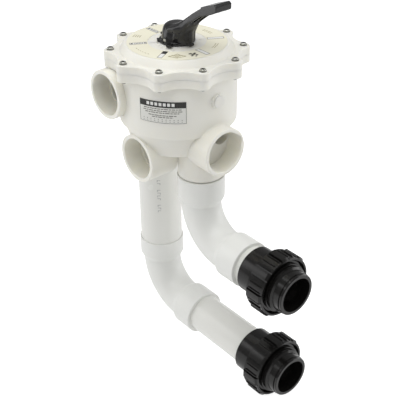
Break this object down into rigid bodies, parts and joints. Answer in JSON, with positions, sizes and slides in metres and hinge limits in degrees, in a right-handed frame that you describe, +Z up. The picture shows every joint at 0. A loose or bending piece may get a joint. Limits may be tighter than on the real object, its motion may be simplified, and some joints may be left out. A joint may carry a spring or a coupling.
{
  "type": "multiport valve",
  "caption": "Pool filter multiport valve: bolted round body with side slip ports, lever handle on a position plate, and two elbowed plumbing legs ending in threaded unions.",
  "frame": {"origin": "centre of the upper union's open end", "axes": "+Z up along the valve's turning axis, -Y out of the two unions, -X the way the pump and waste ports face"},
  "size_m": [0.2068, 0.3538, 0.5806],
  "materials": {
    "white_abs": "moulded white ABS, fine satin",
    "pvc_fitting": "moulded white PVC fitting, satin",
    "pvc_pipe": "extruded white PVC pipe, soft gloss",
    "handle_black": "moulded black, satin gloss",
    "union_black": "moulded black, satin gloss",
    "position_plate": "printed cream label",
    "rating_label": "printed white label",
    "steel": "stainless, slightly worn",
    "dark_steel": "dull dark steel",
    "grey_noryl": "filled grey plastic",
    "white_washer": "slippery white plastic",
    "seal_rubber": "black rubber"
  },
  "bodies": {
    "valve": {"valve_body": "white_abs", "cover": "white_abs", "gauge_plug": "white_abs", "position_plate": "position_plate", "rating_label": "rating_label", "cover_o_ring": "seal_rubber", "stem_o_rings": "seal_rubber", "spider_gasket": "seal_rubber", "upper_union_o_ring": "seal_rubber", "lower_union_o_ring": "seal_rubber", "cover_screws": "steel", "cover_washers": "steel", "cover_nuts": "dark_steel", "spring_washer": "steel", "diverter_spring": "steel", "front_nipple": "pvc_pipe", "back_pipe": "pvc_pipe", "back_sleeve": "pvc_pipe", "upper_nipple": "pvc_pipe", "lower_pipe": "pvc_pipe", "front_elbow": "pvc_fitting", "back_elbow": "pvc_fitting", "upper_union_sleeve": "union_black", "upper_union_adapter": "union_black", "lower_union_sleeve": "union_black", "lower_union_adapter": "union_black"},
    "indexer": {"handle_washer": "white_washer"},
    "diverter": {"diverter": "grey_noryl", "spring_cup": "steel", "handle_pin": "steel"},
    "handle": {"handle": "handle_black"},
    "upper_nut": {"upper_union_nut": "union_black"},
    "lower_nut": {"lower_union_nut": "union_black"}
  },
  "joints": [
    {"name": "selector_turn", "type": "hinge", "parent": "valve", "child": "indexer", "pos_m": [0, 0.255, 0.2995], "axis": [0, 0, 1], "continuous": true},
    {"name": "diverter_lift", "type": "slide", "parent": "indexer", "child": "diverter", "axis": [0, 0, 1], "range_m": [0, 0.0054], "stiffness_N_per_m": 8000, "springref_m": -0.02, "deforming": ["diverter_spring"]},
    {"name": "handle_press", "type": "hinge", "parent": "diverter", "child": "handle", "pos_m": [0, 0.255, 0.3055], "axis": [1, 0, 0], "range_deg": [0, 12]},
    {"name": "upper_nut_turn", "type": "hinge", "parent": "valve", "child": "upper_nut", "pos_m": [0, 0.04, 0], "axis": [0, -1, 0], "continuous": true},
    {"name": "lower_nut_turn", "type": "hinge", "parent": "valve", "child": "lower_nut", "pos_m": [0, 0.04, -0.1545], "axis": [0, -1, 0], "continuous": true}
  ],
  "couplings": [
    {"joint": "handle_press", "follows": "diverter_lift", "rad_per_m": 38.4}
  ]
}
